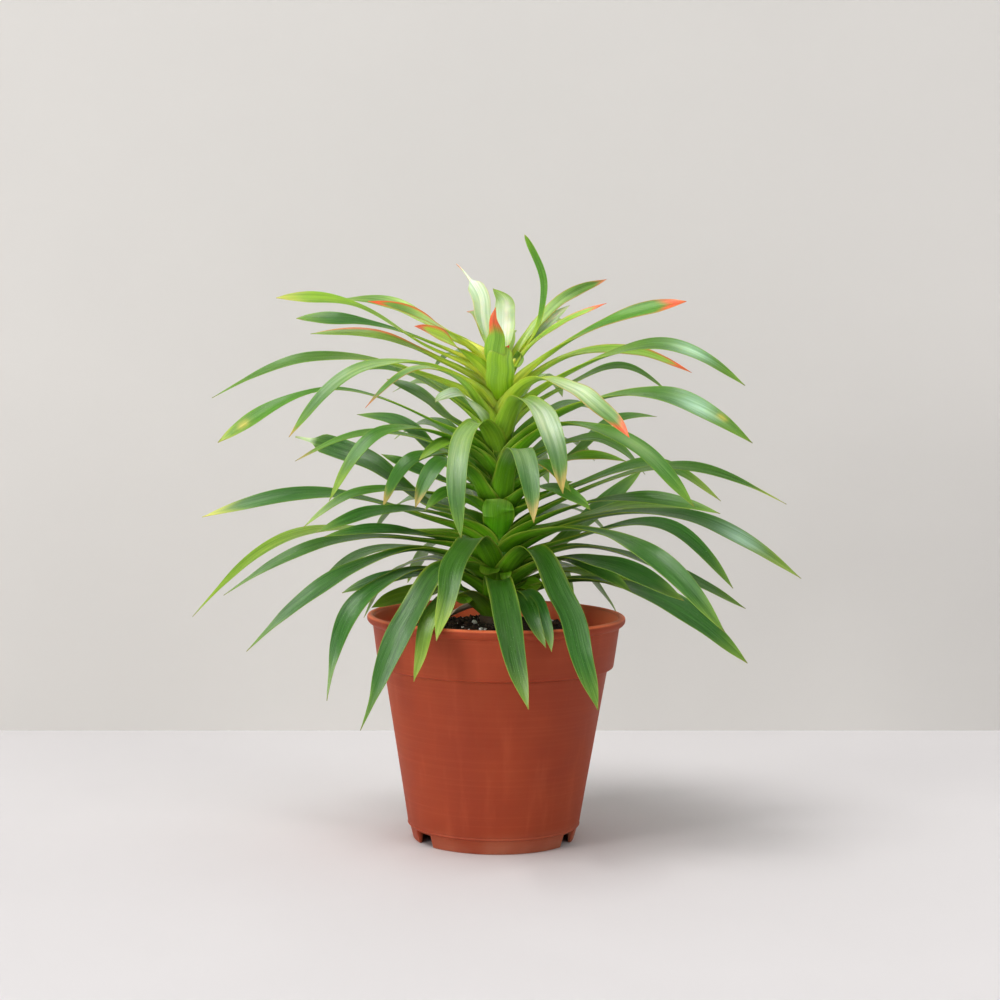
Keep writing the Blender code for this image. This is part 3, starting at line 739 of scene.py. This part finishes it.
def leaf_tone(leaf, share, across, under, shade):
    """Colour of each point on one side of a leaf: foot, blade, outer part, margins, tip, painted highlight
    patches and dry spots.
    """
    words = leaf.look.split()
    youth = leaf_youth(leaf)
    along = share[:, None] + 0 * across
    across = across + 0 * along
    beside = np.abs(across)
    foot = mix(FOOT_GREEN, LIME, ease((youth - 0.58) / 0.38))
    if youth < 0.5:
        blade = mix(OLD_GREEN, MIDDLE_GREEN, youth * 2)
    else:
        blade = mix(MIDDLE_GREEN, YOUNG_GREEN, youth * 2 - 1)
    if "light" in words:
        blade = mix(blade, YOUNG_GREEN, 0.4)
    for word in words:
        if word in WHOLE_TINTS:
            blade = foot = WHOLE_TINTS[word]
        blade = BLADE_TINTS.get(word, blade)
    tone = mix(foot, blade, ease((along - 0.04) / (0.26 + 0.30 * youth)))
    if "cool" in words:
        tone = mix(tone, COOL_GREEN, 0.7 * ease((along - 0.3) / 0.4))
    # Pale leaves: whitish streaks over the arch, partly the leaf's own pale tone and partly painted sheen,
    # then darker green towards the tip
    if "pale" in words:
        streak = 0.75 + 0.25 * wave_noise(across * 1.4, int(leaf.base * 7), 6)
        patch = ease((along - 0.22) / 0.2) * (1 - 0.75 * ease((along - 0.6) / 0.3))
        tone = mix(tone, PALE_AND_SHEEN_GREEN, 0.46 * patch * streak * (1 - 0.5 * beside**2))
        tone = mix(tone, COOL_GREEN, 0.55 * ease((along - 0.58) / 0.25))
    tone = mix(tone * shade, UNDER_GREEN, 0.45 * under * ease((along - 0.25) / 0.35))
    margin = ease((beside - 0.80) / 0.14) * (1 - ease((along - 0.35) / 0.3))
    tone = mix(tone, MARGIN_GREEN * (0.55 + 0.6 * youth), 0.65 * margin)
    end = along - 0.045 * (1 - beside)

    def tint_tips(tone, tips):
        for word, (colour, strength, begin, rise) in tips.items():
            if word in words:
                tone = mix(tone, colour, strength * ease((end - begin) / rise))
        return tone

    tone = tint_tips(tone, RED_TIPS)
    for word, begin in RED_EDGES.items():
        if word in words:
            upper_edge = across * math.copysign(1, math.cos(math.radians(leaf.turn)))
            tone = mix(tone, ORANGE_RED, 0.85 * ease((upper_edge - 0.45) / 0.4) * ease((along - begin) / 0.3))
    if {"edge", "red", "pink"} & set(words):
        tone = mix(tone, PINK_RED, 0.55 * ease((beside - 0.86) / 0.12) * ease((along - 0.3) / 0.3))
    # Near-white blade: a pale young leaf, brightened further with painted glare
    if "white" in words:
        tone = mix(tone, NEAR_WHITE_AND_HIGHLIGHT, 0.92 * ease((along - 0.2) / 0.25) * (1 - 0.4 * beside**3))
        if "pink" in words:
            tone = mix(tone, PINK_RED, 0.8 * ease((end - 0.86) / 0.10))
    # Painted highlights: whitish sheen, silver and glint patches along the leaf
    for word, (colour, strength, centre, size, fade) in PAINTED_HIGHLIGHTS.items():
        if word in words:
            tone = mix(tone, colour, strength * hill(along, centre, size) * (1 - fade * beside**2))
    for word, (strength, centre, size, off_middle, breadth) in SPOTS.items():
        if word in words:
            spot = strength * hill(along, centre, size) * hill(across, off_middle, breadth)
            tone = mix(tone, DRY_SPOT, spot)
    if "curl" in words:
        tone = mix(0.8 * tone, NEAR_WHITE_AND_HIGHLIGHT, 0.85 * ease((along - 0.89) / 0.04))
    tone = tint_tips(tone, FADED_TIPS)
    if not {"red", "pink", "flame"} & set(words):
        tone = mix(tone, TIP_LIME, 0.35 * ease((end - 0.78) / 0.18))
        tone = mix(tone, TIP_BROWN, 0.8 * ease((end - 0.955) / 0.03))
    return tone


def leaf_faces(offset):
    """Faces of one closed leaf, and the map corners of each, within a strip one unit wide."""
    columns = list(range(COLUMNS))
    rise = np.linspace(0.01, 0.99, ROWS)
    top_u = np.linspace(0.03, 0.48, COLUMNS)
    low_u = np.linspace(0.52, 0.97, COLUMNS)
    # Round the leaf: over the upper side, down one edge, back under the lower side and up the other edge
    ring = [(0, c) for c in columns] + [(1, c) for c in reversed(columns)]
    map_spans = [*zip(top_u, top_u[1:]), (0.48, 0.50), *zip(low_u, low_u[1:]), (0.01, 0.03)]
    faces, corners = [], []

    def vertex(place, row):
        side, column = place
        return offset + (side * ROWS + row) * COLUMNS + column

    for (left, right), here, there in zip(map_spans, ring, ring[1:] + ring[:1]):
        for r, (low, high) in enumerate(zip(rise, rise[1:])):
            faces.append((vertex(here, r), vertex(here, r + 1), vertex(there, r + 1), vertex(there, r)))
            corners.append([(left, low), (left, high), (right, high), (right, low)])
    under = ROWS * COLUMNS
    for left, right, c in zip(top_u, top_u[1:], columns):
        for row, near, far in ((0, 0.01, 0.0), (ROWS - 1, 0.99, 1.0)):
            first = vertex((0, c), row)
            faces.append((first, first + 1, first + 1 + under, first + under))
            corners.append([(left, near), (right, near), (right, far), (left, far)])
    return faces, corners


def make_leaves(name, rows, slot, seed, gap=-JOIN_SINK, nodes=(),
                start=None, foot_width=FOOT_WIDTH, sheath=True):
    """One piece of one or more leaves, each a closed body. The gap is from the stem to a leaf's middle."""
    draw = np.random.default_rng(seed)
    verts, tones, grain, beside, below, faces, corners = [], [], [], [], [], [], []
    for k, leaf in enumerate(rows):
        root = start or (stem_radius(leaf.base) + gap, leaf.base)
        upper, lower, share, across, width, length = leaf_surface(
            leaf, root, seed * 17 + k * 5 + 3, foot_width, sheath,
        )
        shade = 1 + np.random.default_rng(draw.integers(0, 2**31)).uniform(-0.10, 0.10)
        for points, under in ((upper, 0.0), (lower, 1.0)):
            flat = np.empty((ROWS, COLUMNS, 3))
            flat[:, :, 0] = across * width / 2
            flat[:, :, 1] = (share * length + np.minimum(np.arange(ROWS) - SHEATH_ROWS, 0))[:, None]
            flat[:, :, 2] = 11.3 * (seed % 97 + k) + 3.1 * under
            verts.append(points.reshape(-1, 3))
            tones.append(leaf_tone(leaf, share, across, under, shade).reshape(-1, 3))
            grain.append(flat.reshape(-1, 3))
            beside.append(np.tile(across[0], ROWS))
            below.append(np.full(ROWS * COLUMNS, under))
        made, mapped = leaf_faces(2 * ROWS * COLUMNS * k)
        faces += made
        corners += [[((u + k) / len(rows), v) for u, v in quad] for quad in mapped]
    obj = new_object(name, np.concatenate(verts), faces, SKINS[slot])
    mesh = obj.data
    tones = np.concatenate(tones)
    add_values(mesh, "leaf_tone", "FLOAT_COLOR", "color", np.column_stack([tones, np.ones(len(tones))]))
    add_values(mesh, "leaf_grain", "FLOAT_VECTOR", "vector", np.concatenate(grain))
    add_values(mesh, "leaf_across", "FLOAT", "value", np.concatenate(beside))
    add_values(mesh, "leaf_under", "FLOAT", "value", np.concatenate(below))
    layer = mesh.uv_layers.new(name="OFBake")
    layer.uv.foreach_set("vector", np.array(corners, np.float32).ravel())
    face_out(mesh)
    return place_piece(obj, slot, *nodes)


# Pot, soil and stem

def rounded(profile):
    """(radius, height) points of a profile whose corners, each (radius, height, rounding), are rounded."""
    points = []
    for k, (x, z, rounding) in enumerate(profile):
        here = np.array([x, z])
        if rounding <= 0 or k in (0, len(profile) - 1):
            points.append(tuple(here))
            continue
        ways = [np.array(profile[k + step][:2]) - here for step in (-1, 1)]
        first, last = (here + way * min(rounding / np.linalg.norm(way), 0.45) for way in ways)
        for t in np.linspace(0, 1, CORNER_STEPS + 1):
            points.append(tuple((1 - t) ** 2 * first + 2 * t * (1 - t) * here + t**2 * last))
    return points


def revolve(name, profile, angles, mat, shift):
    """Closed solid turned round Z. shift(radius, height, angle) gives a new radius and height."""
    verts = [(0.0, 0.0, profile[0][1])]
    rings = []
    for radius, height in profile[1:-1]:
        rings.append(len(verts))
        for angle in angles:
            r, z = shift(radius, height, angle)
            verts.append((r * math.cos(angle), r * math.sin(angle), z))
    last = len(verts)
    verts.append((0.0, 0.0, profile[-1][1]))
    sides = len(angles)
    faces = []
    for k in range(sides):
        n = (k + 1) % sides
        faces.append((0, rings[0] + n, rings[0] + k))
        for a, b in zip(rings, rings[1:]):
            faces.append((a + k, a + n, b + n, b + k))
        faces.append((last, rings[-1] + k, rings[-1] + n))
    obj = new_object(name, verts, faces, mat)
    face_out(obj.data)
    return obj


# Cross-section from the floor's underside, over the foot, body, band and lip, to the floor inside
POT_PROFILE = [
    (0, 6, 0), (37.7, 6, 0.8), (36.2, 0, 0.3), (37.5, 0, 0.4), (39.3, 6.4, 0.2),
    (39.9, 6.7, 0.2), (40.35, 7.2, 0.3), (40.0, 7.8, 0.2), (40.2, 8.4, 0.2), (42.8, 24.7, 0),
    (50.3, 70, 0), (52.1, 80.6, 0.4), (54.8, 81.5, 0.5), (57.35, 100.3, 0.5), (58.9, 101.0, 0.5),
    (60.0, 102.2, 0.8), (60.0, 104.2, 0.8), (59.0, 105.0, 0.7), (57.6, 105.0, 0.7), (56.6, 103.6, 0.8),
    (55.9, 100.0, 0), (53.9, 83.8, 0.8), (51.1, 80.0, 0.8), (49.0, 70, 0), (41.5, 24.7, 0),
    (38.8, 7.5, 1.0), (0, 7.5, 0),
]


def notch_rise(angle):
    """How far the foot's edge is lifted at an angle, for the three notches."""
    most = 0.0
    for turn in NOTCH_TURNS:
        gap = (math.degrees(angle) - turn + 180) % 360 - 180
        beside = abs(math.radians(gap)) * FOOT_RADIUS - NOTCH_WIDTH / 2
        most = max(most, float(ease(0.5 - beside / NOTCH_SLOPE)))
    return NOTCH_HEIGHT * most


def pot_angles():
    """Even angles round the pot, with more at the notches' edges."""
    angles = list(np.linspace(0, 360, POT_SIDES, endpoint=False))
    half = math.degrees(NOTCH_WIDTH / 2 / FOOT_RADIUS)
    for turn in NOTCH_TURNS:
        for edge in (turn - half, turn + half):
            angles += [(edge + d) % 360 for d in np.linspace(-1.1, 1.1, 15)]
    angles = sorted(angles)
    kept = [angles[0]]
    for a in angles[1:]:
        if a - kept[-1] > 0.05:
            kept.append(a)
    return [math.radians(a) for a in kept]


def make_pot(mat):
    def shift(radius, height, angle):
        if height < FLOOR_UNDERSIDE and radius > 30:
            height = height + notch_rise(angle) * (1 - height / FLOOR_UNDERSIDE)
        return radius + OUT_OF_ROUND * math.cos(2 * angle + 0.7) * height / RIM_HEIGHT, height

    pot = revolve("pot_shell", rounded(POT_PROFILE), pot_angles(), mat, shift)
    bm = bmesh.new()
    around = [(DRAIN_CIRCLE * math.cos(a), DRAIN_CIRCLE * math.sin(a)) for a in circle(DRAIN_COUNT)]
    for x, y in [(0.0, 0.0), *around]:
        bmesh.ops.create_cone(
            bm, cap_ends=True, segments=40, radius1=DRAIN_RADIUS * MM, radius2=DRAIN_RADIUS * MM,
            depth=8 * MM, matrix=Matrix.Translation((x * MM, y * MM, 6.7 * MM)),
        )
    mesh = bpy.data.meshes.new("drain_cutters")
    bm.to_mesh(mesh)
    bm.free()
    cutters = link_new("drain_cutters", mesh)
    cut = pot.modifiers.new("drains", "BOOLEAN")
    cut.operation = "DIFFERENCE"
    cut.solver = "EXACT"
    cut.object = cutters
    pot.data = bpy.data.meshes.new_from_object(pot.evaluated_get(bpy.context.evaluated_depsgraph_get()))
    pot.modifiers.clear()
    bpy.data.objects.remove(cutters)
    pot.data.shade_smooth()
    pot.data.set_sharp_from_angle(angle=math.radians(38))
    return place_piece(pot, "pot", "pot")


# Level of the potting mix from the stem to the pot's wall
SOIL_TOP = [
    (8.3, 101.2), (13, 101), (20, 100.4), (28, 99.6), (36, 98), (44, 96.2), (51, 94.9), (53.0, 94.2),
    (SOIL_EDGE, 93.0),
]


def soil_height(radius):
    radii, heights = zip(*SOIL_TOP)
    return float(np.interp(radius, radii, heights))


def soil_rough(x, y):
    """Height of the potting mix at a place, with its lumps, which fade at the wall."""
    radius = math.hypot(x, y)
    lumps = noise.fractal(Vector((x * 0.16, y * 0.16, 3.1)), 0.9, 2.1, 5)
    fine = noise.noise(Vector((x * 0.9, y * 0.9, 8.2)))
    quiet = min(max((SOIL_EDGE - radius) / 3.0, 0.15), 1.0)
    return soil_height(radius) + quiet * (1.3 * lumps + 0.45 * fine)


def make_soil(mat):
    side = [(0, 8.2), (37.6, 8.2), (40.8, 25), (48.4, 70.4), (50.4, 80.2), (53.2, 84.4), (SOIL_EDGE, 92.0)]
    top = [(r, soil_height(r)) for r in np.linspace(SOIL_EDGE, 1.0, 82)]

    def shift(radius, height, angle):
        if height > 92.5:
            return radius, soil_rough(radius * math.cos(angle), radius * math.sin(angle))
        return radius, height

    profile = side + top + [(0, soil_rough(0, 0))]
    return place_piece(revolve("potting_mix", profile, circle(SOIL_SIDES), mat, shift), "soil", "soil")


def make_stem(mat):
    """Stem, which narrows above the soil, with a faint ring for each leaf scar."""
    profile = [(0, 80), (7.4, 80)]
    for z in np.arange(81, STEM_TIP, 1.2):
        scar = 0.35 * abs(math.sin(z * 0.62)) ** 3
        profile.append((stem_radius(z) - CLEARANCE - 1.6 * float(ease((z - 102) / 6)) + scar, z))
    profile.append((0, STEM_TIP + 0.4))

    def shift(radius, height, angle):
        rough = noise.noise(Vector((3 * math.cos(angle), 3 * math.sin(angle), height * 0.12)))
        return radius + 0.25 * rough, height

    return place_piece(revolve("stem_core", profile, circle(STEM_SIDES), mat, shift), "stem", "stem")


def make_lumps(name, spots, detail, mat, seed, flat, rough):
    """One piece of many irregular lumps on the soil. spots are (x, y, height, size)."""
    bm = bmesh.new()
    bmesh.ops.create_icosphere(bm, subdivisions=detail, radius=1.0)
    base = np.array([v.co[:] for v in bm.verts])
    triangles = np.array([[v.index for v in f.verts] for f in bm.faces])
    bm.free()
    draw = np.random.default_rng(seed)
    verts, faces = [], []
    for x, y, z, size in spots:
        shape = base.copy()
        for way in draw.normal(0, 1, (4, 3)):
            way = way / np.linalg.norm(way)
            shape += base * (rough * np.sin(2.3 * (base @ way) + way[0] * 5))[:, None] * 0.5
        stretch = draw.uniform(0.65, 1.25, 3) * np.array([1, 1, flat])
        turn = Matrix.Rotation(draw.uniform(0, 6.28), 3, "Z")
        lean = Matrix.Rotation(draw.uniform(-0.5, 0.5), 3, "X")
        faces += (triangles + len(verts) * len(base)).tolist()
        verts.append((shape * stretch * size) @ np.array(turn @ lean).T + np.array([x, y, z]))
    return place_piece(new_object(name, np.concatenate(verts), faces, mat), "soil")


def scatter(count, seed, inner, outer, small, large, sink):
    """Random (x, y, height, size) spots on the soil between two radii, most of them small."""
    draw = np.random.default_rng(seed)
    spots = []
    for _ in range(count):
        radius = math.sqrt(draw.uniform(inner**2, outer**2))
        angle = draw.uniform(0, 2 * math.pi)
        size = small + (large - small) * draw.uniform() ** 2.2
        x, y = radius * math.cos(angle), radius * math.sin(angle)
        spots.append((x, y, soil_rough(x, y) + size * sink, size))
    return spots


# Build the plant

SKINS = {
    "leaf_low": leaf_material("leaf_low_skin", 0.34, 0.18, 0.30),
    "leaf_middle": leaf_material("leaf_middle_skin", 0.33, 0.20, 0.38),
    "leaf_upper": leaf_material("leaf_upper_skin", 0.33, 0.20, 0.60),
    "withered_leaf": withered_material(),
}

for index, leaf in enumerate(OUTER_LEAVES, 1):
    slot = "leaf_low" if index <= LAST_LOW else "leaf_middle" if index <= LAST_MIDDLE else "leaf_upper"
    number = f"{index:02d}"
    make_leaves(f"blade_{number}", [leaf], slot, 100 + index, CLEARANCE + BLADE_HALF, (f"leaf_{number}",))

make_leaves("old_blades", OLD_LEAVES, "leaf_low", 201, sheath=False)
make_leaves("young_blades", YOUNG_LEAVES, "leaf_upper", 202)
make_leaves("inner_blades", INNER_LEAVES, "leaf_middle", 203)
make_leaves("leaf_knuckles", KNUCKLES, "leaf_low", 206)
make_leaves("back_blades", BACK_LEAVES, "leaf_middle", 204)
make_leaves(
    "withered_blade", [FALLEN_LEAF], "withered_leaf", 205,
    nodes=("fallen_leaf",), start=FALLEN_START, foot_width=5.0, sheath=False,
)

make_stem(stem_material())
make_pot(pot_material())
make_soil(soil_material("potting_mix_crumb", SOIL_DARK, SOIL_BROWN))
crumbs = scatter(count=900, seed=11, inner=9.5, outer=53.0, small=0.5, large=1.9, sink=0.2)
bark = soil_material("bark_crumb", BARK_DARK, BARK_BROWN)
make_lumps("soil_crumbs", crumbs, 1, bark, 12, flat=0.75, rough=0.35)
chips = scatter(count=110, seed=21, inner=10.0, outer=52.0, small=0.35, large=1.3, sink=0.45)
# The seen part of the soil, in front of the stem, has only the chips of the table
chips = [(x, y, z, size) for x, y, z, size in chips if y > 24 or abs(x) > 22]
chips += [(x, y, soil_rough(x, y) + 0.5 * size, size) for x, y, size in PERLITE_SEEN]
make_lumps("perlite_chips", chips, 2, perlite_material(), 22, flat=0.85, rough=0.3)


# Studio, in metres

# The floor paper is painted lighter at the front than by the wall, as painted light
FLOOR_NEAR_PAINTED_LIGHT = srgb(220, 218, 220)
FLOOR_FAR = srgb(216, 214, 216)
WALL_COLOUR = srgb(213, 211, 208)
FLOOR_REACH = 4.0
WALL_LEFT, WALL_RIGHT = Vector((-0.2906, 0.2539)), Vector((0.3063, 0.2973))
WALL_REACH = 3.0
WALL_HEIGHT = 2.4
KEY_PLACE = (-1.0, -0.80, 2.90)
KEY_POWER = 1.74
KEY_WIDTH = 30.0
KEY_COLOUR = (1.0, 0.985, 0.96)
WORLD_COLOUR = (1.0, 0.995, 0.99, 1.0)
WORLD_POWER = 0.35
# Square lights: name, place, target, size, power in watts, colour, and spread in degrees
AREA_LIGHTS = [
    ("front_light", (-0.75, -1.8, 0.50), (0, 0, 0.14), 1.2, 7.5, (1.0, 0.995, 0.985), 180.0),
    ("left_light", (-2.6, -2.0, 0.62), (0, 0, 0.11), 0.8, 20.0, (1.0, 0.99, 0.97), 130.0),
    ("right_light", (1.8, -1.6, 0.90), (0, 0, 0.12), 0.9, 11.0, (1.0, 1.0, 1.0), 180.0),
]
CAMERA_PLACE = (0.00102, -1.0, 0.232)
CAMERA_PITCH = 4.22
CAMERA_ROLL = 0.75
CAMERA_LENS = 77.76


def stage_plane(name, corners, mat):
    new_object(name, corners, [(0, 1, 2, 3)], mat, 1.0)


def paper_material(name, near, far):
    """Paper with a faint mottle, the near colour at the front edge of the floor and the far colour by the
    wall; on the floor the lighter front is painted light.
    """
    n = Nodes(name)
    place = n.object_place()
    mottle = n.noise(place, 6.0, 3.0)
    tint = n.blend(n.span(n.axes(place)["Y"], -0.25, 0.20), near, far)
    colour = n.blend(n.span(mottle, 0.35, 0.65), n.times(tint, (0.985, 0.985, 0.985)), tint)
    return n.finish(colour, n.span(mottle, 0.3, 0.7, 0.75, 0.85))


def one_sided(mat):
    """Lets the backdrop be seen through from behind, so that it hides nothing in the back views."""
    nodes, links = mat.node_tree.nodes, mat.node_tree.links
    side = nodes.new("ShaderNodeNewGeometry").outputs["Backfacing"]
    paper = nodes["Principled BSDF"].outputs[0]
    clear = nodes.new("ShaderNodeBsdfTransparent").outputs[0]
    pick = nodes.new("ShaderNodeMixShader")
    for source, target in zip((side, paper, clear), pick.inputs):
        links.new(source, target)
    links.new(pick.outputs[0], nodes["Material Output"].inputs["Surface"])
    return mat


def add_light(name, kind, place, target, power, colour):
    """Light at a place that shines at a target."""
    data = bpy.data.lights.new(name, kind)
    data.energy = power
    data.color = colour
    lamp = link_new(name, data)
    lamp.location = place
    lamp.rotation_euler = (Vector(target) - Vector(place)).to_track_quat("-Z", "Y").to_euler()
    return data


near, far = -FLOOR_REACH, FLOOR_REACH
stage_plane(
    "floor",
    [(near, near, 0), (far, near, 0), (far, far, 0), (near, far, 0)],
    paper_material("floor_paper", FLOOR_NEAR_PAINTED_LIGHT, FLOOR_FAR),
)
wall_way = (WALL_RIGHT - WALL_LEFT).normalized() * WALL_REACH
left = WALL_LEFT - wall_way
right = WALL_RIGHT + wall_way
stage_plane(
    "backdrop",
    [(*left, 0), (*right, 0), (*right, WALL_HEIGHT), (*left, WALL_HEIGHT)],
    one_sided(paper_material("wall_paper", WALL_COLOUR, WALL_COLOUR)),
)

key = add_light("key_light", "SUN", KEY_PLACE, (0, 0, 0), KEY_POWER, KEY_COLOUR)
key.angle = math.radians(KEY_WIDTH)
for name, place, target, size, power, colour, spread in AREA_LIGHTS:
    light = add_light(name, "AREA", place, target, power, colour)
    light.shape = "SQUARE"
    light.size = size
    light.spread = math.radians(spread)

studio.world = bpy.data.worlds.new("studio")
studio.world.use_nodes = True
background = studio.world.node_tree.nodes["Background"]
background.inputs["Color"].default_value = WORLD_COLOUR
background.inputs["Strength"].default_value = WORLD_POWER
studio.view_settings.view_transform = "Standard"
studio.view_settings.gamma = 0.9

# Camera at the photograph's viewing angle
camera_data = bpy.data.cameras.new("camera")
camera_data.sensor_width = 36.0
camera_data.lens = CAMERA_LENS
camera = link_new("camera", camera_data)
camera.matrix_world = (
    Matrix.Translation(CAMERA_PLACE)
    @ Matrix.Rotation(math.radians(90 - CAMERA_PITCH), 4, "X")
    @ Matrix.Rotation(math.radians(CAMERA_ROLL), 4, "Z")
)
bpy.context.scene.camera = camera
